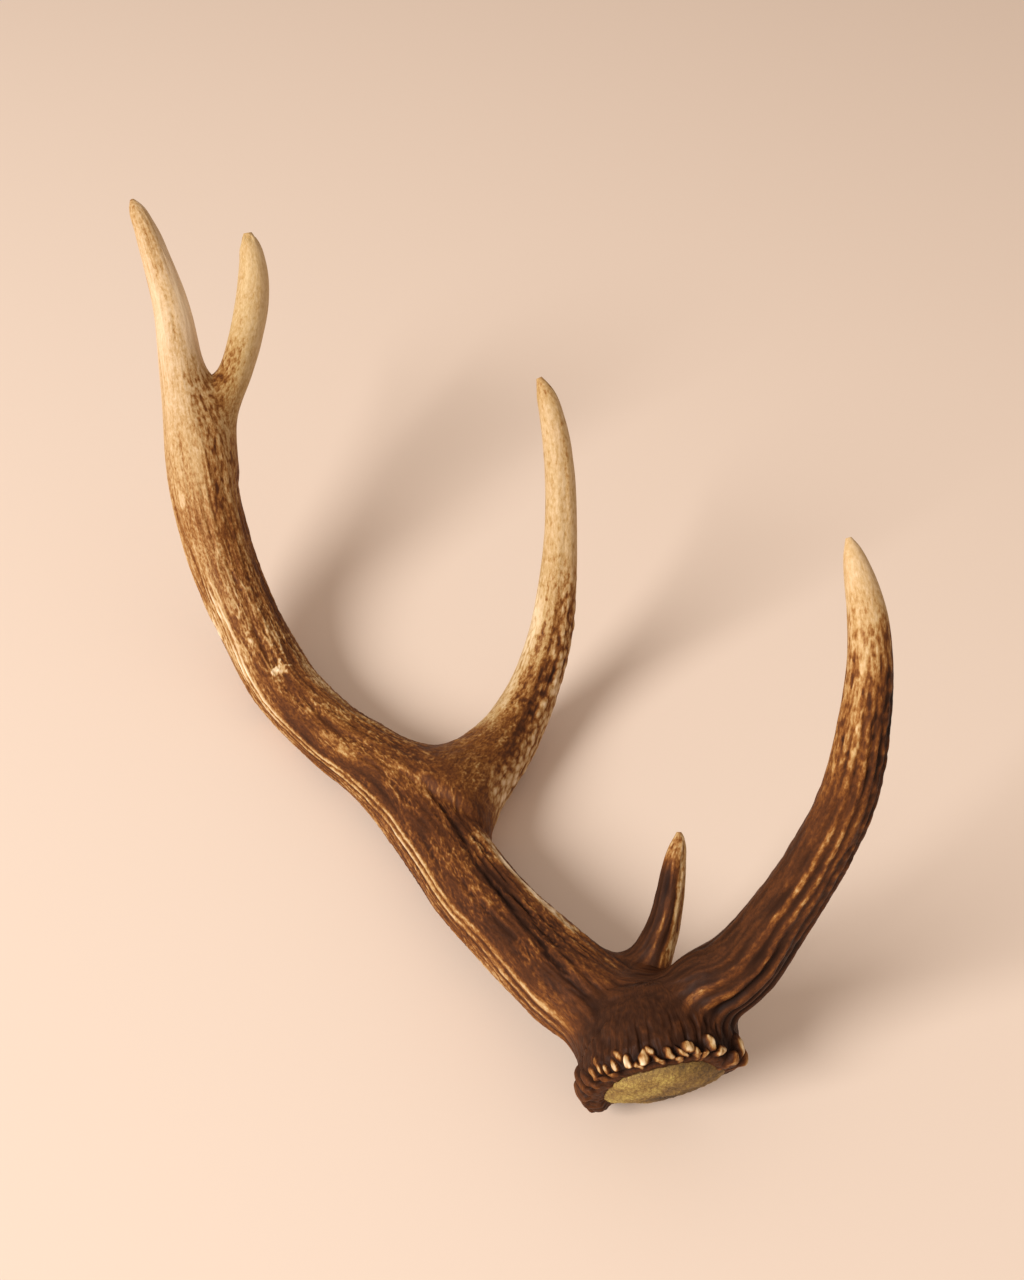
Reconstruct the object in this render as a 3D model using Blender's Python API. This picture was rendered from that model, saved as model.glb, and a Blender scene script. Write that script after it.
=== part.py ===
"""Deer antler: a shed red-deer antler that lies on its outer curve with all its tines raised.

The beam is one lofted limb with lengthwise ridges.  Its foot is the burr (a knobbly ring) with
the stem above it and the convex seal where it was shed, and it carries the roots of the tines.
Each tine is a solid of its own that starts at its fork, a hair's breadth (GAP) from its root.

Lengths below are millimetres; the finished meshes are in metres.  Stations give x and y from the
centre of the burr, z from the foot the antler had before it wore, and the limb's radius there.
"""

import math

import bmesh
import bpy
import numpy as np
from mathutils import Matrix, Vector

MM = 0.001
GAP = 0.3

# The burr's centre, seen from above, in the part's own frame.
BURR_AT = (92.5, -165.0)

# How much of the resting places has worn away, measured up from that first foot.
WORN = 1.8

# The burr's middle and its own axes: into the antler, level across the ring, and down the ring.
BURR_CENTRE = (1.5, -1.2, 28.4)
BURR_AXIS = Vector((-0.248, 0.876, 0.413)).normalized()
BURR_ACROSS = Vector((0.876, 0.248, 0.0)).normalized()
BURR_DOWN = BURR_AXIS.cross(BURR_ACROSS)

# The ring is pressed in on its lower right and bulges below: direction and half breadth in
# radians, and the change of its radius as a share.
BURR_SHAPE = [(0.50, 0.50, -0.16), (1.75, 0.60, 0.09)]

# Rings of the foot, from the seal over the burr into the stem: distance along the axis, radius.
FOOT = [
    (-8.8, 5.0),
    (-8.2, 10.0),
    (-7.3, 14.5),
    (-6.2, 17.6),
    (-5.4, 20.0),
    (-5.2, 23.0),
    (-3.0, 25.6),
    (1.0, 26.2),
    (5.0, 25.2),
    (10.0, 24.2),
    (15.0, 22.2),
    (20.0, 18.4),
    (24.0, 12.0),
]

BEAM = [
    (-1, -3, 29.8, 21.5),
    (-5.8, 12.2, 32.2, 18.2),
    (-14.2, 17.2, 31, 16.4),
    (-27, 29, 28.5, 16.0),
    (-44, 50, 24, 15.2),
    (-63, 75, 21, 15.4),
    (-81, 105, 19, 15.4),
    (-98, 130, 18, 15.2),
    (-128, 159, 15.5, 13.6),
    (-151, 186, 16, 13.6),
    (-169, 213, 26, 13.4),
    (-182, 233, 41, 13.8),
    (-190, 247, 60, 14.4),
    (-195, 260, 77, 14.2),
    (-202, 278, 93, 11.0),
    (-207, 293, 105, 9.5),
]

CROWN_OUTER = [
    (-213, 311, 120, 8.0),
    (-221, 326, 135, 6.4),
    (-228, 338, 145, 4.9),
    (-233, 345, 151, 3.1),
    (-235, 348, 153, 1.2),
]

CROWN_INNER = [
    (-194, 262, 74, 10.2),
    (-187.4, 280, 89, 7.5),
    (-183.3, 297, 100, 7.1),
    (-180.7, 310, 110, 7.4),
    (-179, 322, 122, 7.3),
    (-179.5, 331, 135, 5.9),
    (-181, 335, 142, 4.2),
    (-182, 337, 146, 1.8),
]

TREZ = [
    (-80, 114, 17.8, 16.2),
    (-66.5, 138, 16.6, 15.0),
    (-54, 158, 17, 12.4),
    (-45, 178, 25, 10.4),
    (-39, 195, 40, 9.2),
    (-37, 206, 60, 7.9),
    (-37, 216, 82, 6.7),
    (-39, 230, 102, 6.1),
    (-43, 240, 119, 5.1),
    (-47, 246, 129, 3.4),
    (-49.5, 249, 133, 1.2),
]

BEZ = [
    (-13, 26, 26, 9.0),
    (-5.5, 32, 33, 8.4),
    (-0.5, 36, 42, 7.0),
    (1.8, 39.5, 50, 5.8),
    (3.2, 45, 60, 4.7),
    (4, 51.5, 69, 3.7),
    (5, 56.5, 74, 2.2),
    (5, 58.5, 76, 0.9),
]

BROW = [
    (4.5, 1.5, 30.5, 19.0),
    (8, 9.5, 38, 16.2),
    (13.5, 14.5, 48, 13.6),
    (22, 15, 60, 12.1),
    (32, 14, 90, 9.9),
    (39, 13, 120, 8.9),
    (43, 14, 145, 8.1),
    (43, 18, 168, 7.2),
    (42, 25, 185, 6.1),
    (40, 33, 196, 5.2),
    (37, 39, 204, 3.8),
    (35, 43, 209, 2.2),
    (34, 45, 211, 0.8),
]

# Where each tine leaves its root: the station at which the limb is parted.
FORKS = {"crown_inner_tine": 2, "trez_tine": 2, "bez_tine": 3, "brow_tine": 3}

# How far each root spreads along the beam where it leaves it, as a share of its radius.
SPREAD = {"crown_inner_tine": 0.5, "trez_tine": 0.6, "bez_tine": 0.2, "brow_tine": 0.1}

# Ridge count and height, and the share of the limb after which the ridges have faded out.
BEAM_RIDGES = (10, 0.75, 1.3)
TINE_RIDGES = (7, 0.55, 0.75)
BEAM_SIDES = 30
TINE_SIDES = 21
RING_SPACING = 9.0

# The burr's pearls: how many stand round the ring, and their half sizes (along, across, out).
PEARL_COUNT = 32
PEARL_SIZE = (4.8, 2.6, 2.6)
PEARL_RING = 25.6
PEARL_AT = -0.8

COLOURS = {
    "beam": (0.115, 0.052, 0.024, 1.0),
    "brow_tine": (0.075, 0.038, 0.020, 1.0),
    "bez_tine": (0.120, 0.062, 0.032, 1.0),
    "trez_tine": (0.330, 0.195, 0.085, 1.0),
    "crown_outer_tine": (0.610, 0.455, 0.280, 1.0),
    "crown_inner_tine": (0.520, 0.340, 0.150, 1.0),
}
ROUGHNESS = 0.55


def clear_scene():
    """Remove whatever the file holds."""
    for item in list(bpy.data.objects):
        bpy.data.objects.remove(item, do_unlink=True)
    for group in list(bpy.data.collections):
        bpy.data.collections.remove(group)


def new_collection(name):
    """Make a collection under the scene's own."""
    group = bpy.data.collections.new(name)
    bpy.context.scene.collection.children.link(group)
    return group


def bone(name):
    """A plain antler material of the named piece's mean colour."""
    material = bpy.data.materials.new(name)
    material.use_nodes = True
    shader = material.node_tree.nodes["Principled BSDF"]
    shader.inputs["Base Color"].default_value = COLOURS[name]
    shader.inputs["Roughness"].default_value = ROUGHNESS
    shader.inputs["Metallic"].default_value = 0.0
    return material


def smooth_path(stations, spacing):
    """Carry a cubic curve through the stations and sample it at about the given spacing.

    The curve is a Hermite spline over the chord length, so it passes through every station.
    """
    table = np.array(stations, dtype=float)
    steps = np.linalg.norm(np.diff(table[:, :3], axis=0), axis=1)
    knots = np.concatenate([[0.0], np.cumsum(steps)])
    slopes = np.gradient(table, knots, axis=0)
    count = max(2, int(round(knots[-1] / spacing)))
    along = np.linspace(0.0, knots[-1], count + 1)
    cell = np.clip(np.searchsorted(knots, along, side="right") - 1, 0, len(knots) - 2)
    width = (knots[cell + 1] - knots[cell])[:, None]
    t = (along[:, None] - knots[cell][:, None]) / width
    rows = (
        (2 * t**3 - 3 * t**2 + 1) * table[cell]
        + (t**3 - 2 * t**2 + t) * width * slopes[cell]
        + (3 * t**2 - 2 * t**3) * table[cell + 1]
        + (t**3 - t**2) * width * slopes[cell + 1]
    )
    return rows[:, :3], np.maximum(rows[:, 3], 0.6)


def carried_frames(centres, first_side):
    """Directions of travel, and a side direction carried along them with the least turning."""
    travel = np.gradient(centres, axis=0)
    travel /= np.linalg.norm(travel, axis=1)[:, None]
    side = np.array(first_side, dtype=float)
    sides = []
    for ahead in travel:
        side = side - ahead * side.dot(ahead)
        side = side / np.linalg.norm(side)
        sides.append(side)
    return travel, np.array(sides)


def ridge_height(angle, along, ridges):
    """Lengthwise ridges that wander a little round the limb and fade towards its tip."""
    count, height, fade_end = ridges
    share = np.linspace(0.0, 1.0, len(along))
    fade = np.clip((fade_end - share) / fade_end, 0.0, 1.0)
    wander = 0.9 * np.sin(along / 34.0)[:, None]
    main = np.cos(count * angle[None, :] + wander)
    minor = 0.6 * np.cos((count - 3) * angle[None, :] - along[:, None] / 27.0)
    return height * fade[:, None] * (main + minor)


def limb_rings(centres, radii, first_side, sides, ridges, spread=None):
    """Rings of points round a limb: radius plus ridges, in the plane across its travel.

    spread is a direction for each ring, along which that ring is drawn out to both sides.
    """
    travel, side = carried_frames(centres, first_side)
    up = np.cross(travel, side)
    steps = np.linalg.norm(np.diff(centres, axis=0), axis=1)
    along = np.concatenate([[0.0], np.cumsum(steps)])
    angle = np.linspace(0.0, 2.0 * math.pi, sides, endpoint=False)
    relief = ridge_height(angle, along, ridges) * np.minimum(1.0, radii / 9.0)[:, None]
    reach = radii[:, None] + relief
    spokes = (
        np.cos(angle)[None, :, None] * side[:, None, :]
        + np.sin(angle)[None, :, None] * up[:, None, :]
    )
    if spread is not None:
        lean = np.einsum("ijk,ik->ij", spokes, spread)
        spokes = spokes + lean[:, :, None] * spread[:, None, :]
    return centres[:, None, :] + reach[:, :, None] * spokes


def loft(name, rings, group):
    """Skin rings of equal length with quads, and close both ends with a fan."""
    mesh = bpy.data.meshes.new(name)
    shell = bmesh.new()
    offset = Vector((BURR_AT[0], BURR_AT[1], -WORN))
    rows = [[shell.verts.new((Vector(point) + offset) * MM) for point in ring] for ring in rings]
    sides = len(rows[0])
    for lower, upper in zip(rows[:-1], rows[1:]):
        for j in range(sides):
            k = (j + 1) % sides
            shell.faces.new((lower[j], lower[k], upper[k], upper[j]))
    for row, turn in ((rows[0], True), (rows[-1], False)):
        middle = sum((vert.co for vert in row), Vector()) / sides
        pole = shell.verts.new(middle)
        for j in range(sides):
            k = (j + 1) % sides
            corners = (row[k], row[j], pole) if turn else (row[j], row[k], pole)
            shell.faces.new(corners)
    bmesh.ops.recalc_face_normals(shell, faces=shell.faces)
    shell.to_mesh(mesh)
    shell.free()
    piece = bpy.data.objects.new(name, mesh)
    group.objects.link(piece)
    return piece


def parted(rings, centres, cut):
    """Split a limb's rings at index cut; the upper part starts GAP further on."""
    step = centres[cut + 1] - centres[cut]
    step = step / np.linalg.norm(step) * GAP
    upper = rings[cut:].copy()
    upper[0] = rings[cut] + step
    return rings[: cut + 1], upper


def root_spread(name, centres, cut):
    """The direction in which each ring of a root is drawn out: along the beam, less its travel.

    The amount falls to nothing from the limb's first ring to the fork.
    """
    beam = np.array([station[:3] for station in BEAM], dtype=float)
    near = int(np.argmin(np.linalg.norm(beam - centres[0], axis=1)))
    parent = beam[min(near + 1, len(beam) - 1)] - beam[near - 1]
    travel = np.gradient(centres, axis=0)
    travel /= np.linalg.norm(travel, axis=1)[:, None]
    across = parent - travel * (travel @ parent)[:, None]
    across /= np.linalg.norm(across, axis=1)[:, None]
    left = np.clip(1.0 - np.arange(len(centres)) / cut, 0.0, 1.0)
    return across * np.sqrt(SPREAD[name] * left**1.3)[:, None]


def tine(name, stations, parts, roots):
    """Make a tine's root, which fuses with the beam, and the tine, which starts at the fork."""
    centres, radii = smooth_path(stations, RING_SPACING)
    side = np.cross(centres[1] - centres[0], (0.3, 0.2, 1.0))
    fork = np.array(stations[FORKS[name]][:3], dtype=float)
    cut = int(np.argmin(np.linalg.norm(centres - fork, axis=1)))
    spread = root_spread(name, centres, cut)
    rings = limb_rings(centres, radii, side, TINE_SIDES, TINE_RIDGES, spread)
    root, rest = parted(rings, centres, cut)
    loft(name + "_root", root, roots)
    piece = loft(name, rest, parts)
    piece.data.materials.append(bone(name))
    return piece


def burr_reach(angle):
    """The share of its radius that the ring has at an angle: 1 and a few bell-shaped changes."""
    return 1.0 + sum(
        change * np.exp(-(((angle - middle) / breadth) ** 2)) for middle, breadth, change in BURR_SHAPE
    )


def foot(roots):
    """The seal, the burr and the stem above it: rings square to the burr's own axis."""
    angle = np.linspace(0.0, 2.0 * math.pi, BEAM_SIDES, endpoint=False)
    spokes = np.outer(np.cos(angle), BURR_ACROSS) + np.outer(np.sin(angle), BURR_DOWN)
    spokes = spokes * burr_reach(angle)[:, None]
    rings = []
    for distance, radius in FOOT:
        middle = np.array(BURR_CENTRE) + np.array(BURR_AXIS) * distance
        rings.append(middle + radius * spokes)
    loft("foot", rings, roots)


def beam_and_outer_tine(parts):
    """Loft the beam from inside the burr to the crown, and part the outer tine from it."""
    centres, radii = smooth_path(BEAM + CROWN_OUTER, RING_SPACING)
    rings = limb_rings(centres, radii, BURR_ACROSS, BEAM_SIDES, BEAM_RIDGES)
    fork = np.array(BEAM[-1][:3], dtype=float)
    cut = int(np.argmin(np.linalg.norm(centres - fork, axis=1)))
    lower, upper = parted(rings, centres, cut)
    beam = loft("beam", lower, parts)
    beam.data.materials.append(bone("beam"))
    outer = loft("crown_outer_tine", upper, parts)
    outer.data.materials.append(bone("crown_outer_tine"))
    return beam


def pearl(index, roots):
    """One bead of the burr: a stretched ball set in the ring, its long side along the beam."""
    turn = 2.0 * math.pi * index / PEARL_COUNT
    out = BURR_ACROSS * math.cos(turn) + BURR_DOWN * math.sin(turn)
    round_about = BURR_AXIS.cross(out)
    size = 1.0 + 0.30 * math.sin(2.4 * index) + 0.12 * math.cos(5.1 * index)
    place = PEARL_AT + 1.2 * math.sin(3.7 * index)
    middle = Vector(BURR_CENTRE) + Vector((BURR_AT[0], BURR_AT[1], -WORN))
    centre = middle + BURR_AXIS * place + out * (PEARL_RING * float(burr_reach(turn)))
    half = [s * size * MM for s in PEARL_SIZE]
    frame = (BURR_AXIS * half[0], round_about * half[1], out * half[2])
    axes = Matrix(frame).transposed()
    mesh = bpy.data.meshes.new("pearl")
    ball = bmesh.new()
    bmesh.ops.create_icosphere(ball, subdivisions=1, radius=1.0)
    bmesh.ops.transform(ball, matrix=Matrix.Translation(centre * MM) @ axes.to_4x4(), verts=ball.verts)
    bmesh.ops.recalc_face_normals(ball, faces=ball.faces)
    ball.to_mesh(mesh)
    ball.free()
    roots.objects.link(bpy.data.objects.new("pearl_%02d" % index, mesh))


def table_block(cutters):
    """A block below the table top, which wears the resting places flat."""
    mesh = bpy.data.meshes.new("table_block")
    block = bmesh.new()
    bmesh.ops.create_cube(block, size=1.0)
    bmesh.ops.transform(block, matrix=Matrix.Translation((0.0, 0.0, -0.5)), verts=block.verts)
    block.to_mesh(mesh)
    block.free()
    piece = bpy.data.objects.new("table_block", mesh)
    cutters.objects.link(piece)
    return piece


def fuse(beam, roots, block):
    """Fuse the foot, roots and pearls with the beam, then wear its resting places flat."""
    union = beam.modifiers.new("fuse foot, roots and pearls", "BOOLEAN")
    union.operation = "UNION"
    union.operand_type = "COLLECTION"
    union.collection = roots
    union.solver = "EXACT"
    wear = beam.modifiers.new("rest flats", "BOOLEAN")
    wear.operation = "DIFFERENCE"
    wear.object = block
    wear.solver = "EXACT"


def main():
    """Build the antler."""
    clear_scene()
    parts = new_collection("deer_antler")
    roots = new_collection("roots_and_pearls")
    cutters = new_collection("cutters")
    beam = beam_and_outer_tine(parts)
    foot(roots)
    tine("crown_inner_tine", CROWN_INNER, parts, roots)
    tine("trez_tine", TREZ, parts, roots)
    tine("bez_tine", BEZ, parts, roots)
    tine("brow_tine", BROW, parts, roots)
    for index in range(PEARL_COUNT):
        pearl(index, roots)
    fuse(beam, roots, table_block(cutters))
    for guide in list(roots.objects) + list(cutters.objects):
        guide.hide_render = True
        guide.display_type = "WIRE"


main()
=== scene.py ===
"""Looks of a shed deer antler that lies on its outer curve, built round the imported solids.

The antler is five limbs (the beam with the crown's outer tine, and four tines) and the burr at
its foot.  Every limb is a circle carried along a path.  The limbs are blended into one smooth
form, and each piece is a grid of rings whose points are moved out to that form, so pieces that
meet at a fork share one surface.  Ridges, furrows and beads are then added along the normal, and
the same numbers go into the vertex attributes that drive the colours.

Lengths in the tables are millimetres.  Stations give x and y from the burr's centre, z from the
foot the antler had before it wore, and the radius.  Angles round a limb count from the side that
faces the front of the piece, positive towards the burr's right.
"""

import itertools
import math

import bpy
import numpy as np
from bpy.props import FloatProperty, FloatVectorProperty, PointerProperty
from mathutils import Matrix, Vector


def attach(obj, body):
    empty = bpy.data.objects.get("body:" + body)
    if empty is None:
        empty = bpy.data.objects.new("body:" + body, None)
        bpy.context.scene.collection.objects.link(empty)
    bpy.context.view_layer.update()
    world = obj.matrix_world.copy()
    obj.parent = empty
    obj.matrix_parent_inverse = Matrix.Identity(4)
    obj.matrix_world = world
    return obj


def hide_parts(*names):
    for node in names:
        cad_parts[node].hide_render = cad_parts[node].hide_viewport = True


bl_info = {
    "name": "Deer antler",
    "version": (1, 0, 0),
    "blender": (4, 5, 0),
    "location": "3D View > Sidebar > Antler",
    "description": "Builds a shed deer antler round its packed solids, and its stage",
    "category": "Object",
}

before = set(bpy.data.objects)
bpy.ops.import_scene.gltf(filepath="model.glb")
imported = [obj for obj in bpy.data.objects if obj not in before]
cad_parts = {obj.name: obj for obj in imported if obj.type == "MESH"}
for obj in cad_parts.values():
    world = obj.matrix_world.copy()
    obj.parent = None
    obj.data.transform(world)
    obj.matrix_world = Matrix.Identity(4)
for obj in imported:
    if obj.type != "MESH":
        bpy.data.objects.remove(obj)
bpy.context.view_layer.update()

MM = 0.001
FULL_TURN = 2.0 * math.pi
# Where the tables' origin lies in the part's frame, and how much wore off the foot.
BURR_AT = np.array([92.5, -165.0, 0.0])
WORN = 1.8
# The burr's centre, its axis into the antler, and its level and downward directions.
BURR_CENTRE = np.array([1.5, -1.2, 28.4])
BURR_AXIS = np.array([-0.248, 0.876, 0.413]) / np.linalg.norm([-0.248, 0.876, 0.413])
BURR_ACROSS = np.array([0.876, 0.248, 0.0]) / np.linalg.norm([0.876, 0.248, 0.0])
BURR_DOWN = np.cross(BURR_AXIS, BURR_ACROSS)
# The ring is pressed in on its lower right and bulges below: direction and half breadth in
# radians, and the change of its radius as a share.
BURR_SHAPE = [(0.50, 0.50, -0.16), (1.75, 0.60, 0.09)]
# At the left the ring's outer part hangs LEFT_DROP lower in a lump (direction and half breadth in
# degrees), and its underside is FRONT_RISE higher at the front, where more of the seal shows.
LEFT_DROP = 3.2
LUMP = (-210.0, 17.0)
FRONT_RISE = 3.0
# The ring's radius where its pearls stand, and the number of grooves round the neck.
RING = 26.5
FLUTES = 46
# The front's pearls, those left of FRONT_END, stand PEARL_SHIFT further up; the worn ones are
# paler on top.  Directions in degrees.  All are made wider and higher than their table says.
FRONT_END = -40.0
PEARL_SHIFT = 0.8
WORN_PEARLS = (-158.0, -18.0)
PEARL_WIDTH = 1.14
PEARL_HEIGHT = 1.12
# The side that angles round a limb are counted from, the spacing of a path's rows, and the least
# radius of a limb.
FRONT = np.array([0.0, -0.758, 0.653])
STEP = 1.5
THINNEST = 0.5
# The rings that round off a tip.
TIP_RINGS = 9
# A limb is asked about points up to MARGIN outside its box, and those beyond count as FAR off.
MARGIN = 30.0
FAR = 1000.0
# The narrowest blend, and the share of the form below which a limb's pattern isn't worked out.
LEAST_BLEND = 0.4
LEAST_SHARE = 0.002
# Points are located in blocks of this many.
BLOCK = 20000
# Points travel at most REACH out and INWARD in to the form, in SETTLING steps of a SHARE of the
# depth that is left.  Limbs stay CLEAR of the ring.
REACH = 14.0
INWARD = -4.0
SETTLING = 5
SHARE = 0.9
CLEAR = 4.0
# The depth over which one limb's pattern gives way to the next, and how far a piece sinks where
# another one covers it.
MIXING = 2.6
SINK = 0.9
# Lengths: where the beam's outer tine begins, how far the pieces run on past that, and where the
# inner tine comes out of the beam.
CROWN_FORK = 395.0
OVERLAP = 5.0
INNER_ROOT = 17.0

BEAM_PATH = [
    (-1, -3, 29.8, 21.5), (-5.8, 12.2, 32.2, 17.8), (-14.2, 17.2, 31, 16.0),
    (-27, 29, 28.5, 16.0), (-44, 50, 24, 15.2), (-63, 75, 21, 15.4), (-81, 105, 19, 15.4),
    (-98, 130, 18, 15.2), (-128, 159, 15.5, 13.6), (-151, 186, 16, 13.6), (-169, 213, 26, 13.4),
    (-182, 233, 41, 13.8), (-190, 247, 60, 14.4), (-195, 260, 77, 14.2), (-202, 278, 93, 11.0),
    (-207, 293, 105, 9.5), (-213, 311, 120, 8.0), (-221, 326, 135, 6.4), (-228, 338, 145, 4.9),
    (-233, 345, 151, 3.1), (-235, 348, 153, 1.2),
]
INNER_PATH = [
    (-189, 250, 62, 7.0), (-189.5, 262, 74.5, 7.3), (-187.4, 280, 89, 6.9), (-183.3, 297, 100, 7.1),
    (-180.7, 310, 110, 7.4), (-179, 322, 122, 7.3), (-179.5, 331, 135, 5.9), (-181, 335, 142, 4.2),
    (-182, 337, 146, 1.8),
]
TREZ_PATH = [
    (-83, 106, 18, 9.0), (-75.5, 117.5, 17.5, 15.0), (-65.2, 137.2, 16.8, 15.3),
    (-54, 158, 17.5, 12.6), (-45, 178, 25, 10.4), (-39, 195, 40, 9.2), (-37, 206, 60, 7.9),
    (-37, 216, 82, 6.7), (-39, 230, 102, 6.1), (-43, 240, 119, 5.1), (-47, 246, 129, 3.4),
    (-49.5, 249, 133, 1.2),
]
BEZ_PATH = [
    (-13, 26, 26, 8.2), (-5.5, 32, 33, 7.6), (-0.5, 36, 42, 6.5), (1.8, 39.5, 50, 5.6),
    (3.2, 45, 60, 4.7), (4, 51.5, 69, 3.7), (5, 56.5, 74, 2.2), (5, 58.5, 76, 0.9),
]
BROW_PATH = [
    (4.5, 1.5, 30.5, 19.0), (8, 9.5, 38, 15.8), (13.5, 14.5, 48, 13.3), (22, 15, 60, 12.0),
    (31.8, 14, 90, 9.6), (38.6, 13, 120, 8.5), (42.4, 14, 145, 7.8), (42.7, 18, 168, 7.0),
    (42, 25, 185, 6.1), (40, 33, 196, 5.2), (37, 39, 204, 3.8), (35, 43, 208.7, 2.2),
    (34, 45, 210.7, 0.8),
]

# Seen in section, the burr and the neck above it: distance along the axis, radius.
BURR_PROFILE = [
    (26.0, 8.0), (22.5, 15.0), (18.5, 19.8), (13.0, 23.4), (9.0, 24.6), (6.0, 25.2), (3.8, 26.0),
    (1.5, 26.6), (-1.0, 26.8), (-3.4, 26.2), (-4.9, 24.8), (-5.5, 22.8), (-5.3, 20.5), (-4.2, 17.0),
    (-2.0, 12.0),
]
SEAL_PROFILE = [
    (-9.2, 0.0), (-9.0, 5.0), (-8.4, 10.0), (-7.5, 14.5), (-6.6, 17.6), (-5.3, 20.0), (-3.6, 21.0),
    (-1.2, 21.6), (0.6, 15.0),
]

# Gutters, crests and flats along the limbs: change of the radius as a share, angle, half breadth,
# and the lengths where it begins, is full, begins to end and has ended.
SECTIONS = {
    "beam": [
        (-0.085, 0.85, 0.34, 30, 60, 110, 150),
        (0.035, 1.40, 0.25, 30, 55, 105, 140),
        (-0.03, -0.1, 0.5, 60, 100, 250, 330),
    ],
    "brow_tine": [(-0.07, 0.95, 0.16, 15, 40, 110, 150), (-0.049, 0.35, 0.14, 15, 40, 110, 150)],
    "trez_tine": [(-0.06, 0.25, 0.28, 45, 75, 160, 200)],
}


# ---- curves and noise


def smooth(low, high, value):
    """Smoothstep from 0 at low to 1 at high, 3t^2 - 2t^3 between; it falls if low is larger."""
    t = np.clip((value - low) / (high - low), 0.0, 1.0)
    return t * t * (3.0 - 2.0 * t)


def between(value, low, start, end, high):
    """Smoothstep up from low to start, 1 as far as end, and down again to high."""
    return smooth(low, start, value) * (1.0 - smooth(end, high, value))


def hump(value, middle, breadth):
    """A bell: 1 at the middle, 0.37 at a breadth to either side."""
    return np.exp(-(((value - middle) / breadth) ** 2))


def read(table, place):
    """A table of places and values read at a place, straight between its rows."""
    return np.interp(place, *np.transpose(table))


def unit(vectors):
    """Vectors scaled to a length of 1."""
    return vectors / np.maximum(np.linalg.norm(vectors, axis=-1, keepdims=True), 1e-6)


def lengths(rows):
    """The length from the first row to each, along straight lines."""
    steps = np.linalg.norm(np.diff(rows, axis=0), axis=1)
    return np.concatenate([[0.0], np.cumsum(steps)])


def hashed(ix, iy, iz, seed):
    """Whole numbers mixed into one number from 0 to 1: multiply by primes, xor with shifts."""
    mixed = (ix * 374761393 + iy * 668265263 + iz * 1274126177 + seed * 144665123) & 0xFFFFFFFF
    mixed = ((mixed ^ (mixed >> 13)) * 1103515245) & 0xFFFFFFFF
    mixed = ((mixed ^ (mixed >> 16)) * 668265263) & 0xFFFFFFFF
    return ((mixed ^ (mixed >> 15)) & 0xFFFFFF) / float(0xFFFFFF)


def grain_noise(x, y, z, seed):
    """Gradient noise from about -1 to 1: at each corner of a unit cell, a slope of hashed
    direction times the way to the corner, blended with fade curves 6t^5 - 15t^4 + 10t^3."""
    x, y, z = np.broadcast_arrays(x, y, z)
    fx, fy, fz = np.floor(x), np.floor(y), np.floor(z)
    ix, iy, iz = fx.astype(np.int64), fy.astype(np.int64), fz.astype(np.int64)
    tx, ty, tz = x - fx, y - fy, z - fz
    ux, uy, uz = (t * t * t * (t * (t * 6.0 - 15.0) + 10.0) for t in (tx, ty, tz))
    total = np.zeros(x.shape)
    for cx, cy, cz in itertools.product((0, 1), repeat=3):
        turn = hashed(ix + cx, iy + cy, iz + cz, seed) * FULL_TURN
        lift = hashed(ix + cx, iy + cy, iz + cz, seed + 57) * 2.0 - 1.0
        flat = np.sqrt(1.0 - lift * lift)
        slope = np.cos(turn) * flat * (tx - cx) + np.sin(turn) * flat * (ty - cy) + lift * (tz - cz)
        weight = (ux if cx else 1.0 - ux) * (uy if cy else 1.0 - uy) * (uz if cz else 1.0 - uz)
        total += slope * weight
    return total * 1.7


def cell_noise(x, y, z, seed):
    """Distance to the nearest of one hashed point per unit cell, and that point's own number."""
    x, y, z = np.broadcast_arrays(x, y, z)
    ix, iy, iz = (np.floor(t).astype(np.int64) for t in (x, y, z))
    best = np.full(x.shape, 9.0)
    own = np.zeros(x.shape)
    for cx, cy, cz in itertools.product((-1, 0, 1), repeat=3):
        jx, jy, jz = ix + cx, iy + cy, iz + cz
        px = jx + hashed(jx, jy, jz, seed)
        py = jy + hashed(jx, jy, jz, seed + 11)
        pz = jz + hashed(jx, jy, jz, seed + 23)
        gap = (x - px) ** 2 + (y - py) ** 2 + (z - pz) ** 2
        own = np.where(gap < best, hashed(jx, jy, jz, seed + 37), own)
        best = np.minimum(gap, best)
    return np.sqrt(best), own


# ---- limbs


def smooth_path(stations, spacing):
    """A cubic Hermite curve over chord length through the stations, sampled evenly."""
    table = np.array(stations, dtype=float)
    knots = lengths(table[:, :3])
    slopes = np.gradient(table, knots, axis=0)
    count = max(2, int(round(knots[-1] / spacing)))
    along = np.linspace(0.0, knots[-1], count + 1)
    cell = np.clip(np.searchsorted(knots, along, side="right") - 1, 0, len(knots) - 2)
    width = (knots[cell + 1] - knots[cell])[:, None]
    t = (along[:, None] - knots[cell][:, None]) / width
    return (
        (2 * t**3 - 3 * t**2 + 1) * table[cell]
        + (t**3 - 2 * t**2 + t) * width * slopes[cell]
        + (3 * t**2 - 2 * t**3) * table[cell + 1]
        + (t**3 - t**2) * width * slopes[cell + 1]
    )


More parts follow.
